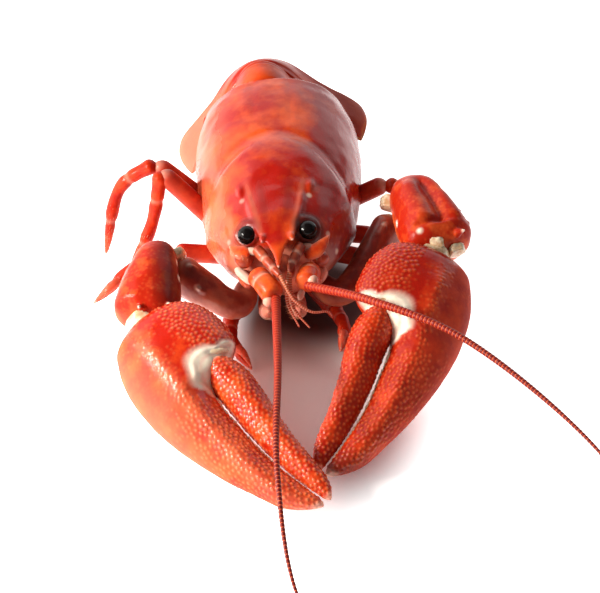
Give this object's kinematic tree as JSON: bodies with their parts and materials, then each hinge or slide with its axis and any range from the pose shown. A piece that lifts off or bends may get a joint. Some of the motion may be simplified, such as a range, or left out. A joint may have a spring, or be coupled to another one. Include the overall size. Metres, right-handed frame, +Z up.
{
  "type": "cooked crayfish",
  "caption": "Whole cooked red crayfish lying on its belly with its tail curled under, its claws laid together in front and long feelers reaching over them.",
  "frame": {"origin": "on the flat spot of the belly, at table height", "axes": "+Z up, -Y to the head and claws, +X to the right as seen from the front"},
  "size_m": [0.0855, 0.1453, 0.027],
  "materials": {
    "shell": "glossy wet cooked shell, orange red with paler flanks",
    "tail": "glossy wet cooked shell, orange red",
    "claw": "glossy granular cooked shell, deep orange red with a cream patch at the finger hinge",
    "leg": "smooth cooked shell, red to salmon with pale joints",
    "feeler": "ringed cooked shell, orange and dark red",
    "eye": "shiny black"
  },
  "bodies": {
    "root": {"carapace": "shell", "tail_ring_1": "tail", "tail_ring_2": "tail", "tail_ring_3": "tail", "tail_ring_4": "tail", "tail_ring_5": "tail", "tail_ring_6": "tail", "telson": "tail", "fan_inner_left": "tail", "fan_inner_right": "tail", "fan_outer_left": "tail", "fan_outer_right": "tail", "claw_palm_left": "claw", "claw_finger_left": "claw", "claw_wrist_left": "claw", "claw_arm_left": "claw", "claw_palm_right": "claw", "claw_finger_right": "claw", "claw_wrist_right": "claw", "claw_arm_right": "claw", "leg_1_left_upper": "leg", "leg_1_left_lower": "leg", "leg_2_left_upper": "leg", "leg_2_left_lower": "leg", "leg_3_left_upper": "leg", "leg_3_left_lower": "leg", "leg_4_left_upper": "leg", "leg_4_left_lower": "leg", "leg_1_right_upper": "leg", "leg_1_right_lower": "leg", "leg_2_right_upper": "leg", "leg_2_right_lower": "leg", "leg_3_right_upper": "leg", "leg_3_right_lower": "leg", "leg_4_right_upper": "leg", "leg_4_right_lower": "leg", "mouth_leg_left": "leg", "mouth_leg_right": "leg", "feeler_root_left": "feeler", "feeler_left": "feeler", "feeler_scale_left": "feeler", "small_feeler_left": "feeler", "feeler_root_right": "feeler", "feeler_right": "feeler", "feeler_scale_right": "feeler", "small_feeler_right": "feeler", "eye_left": "eye", "eye_right": "eye"}
  },
  "joints": []
}
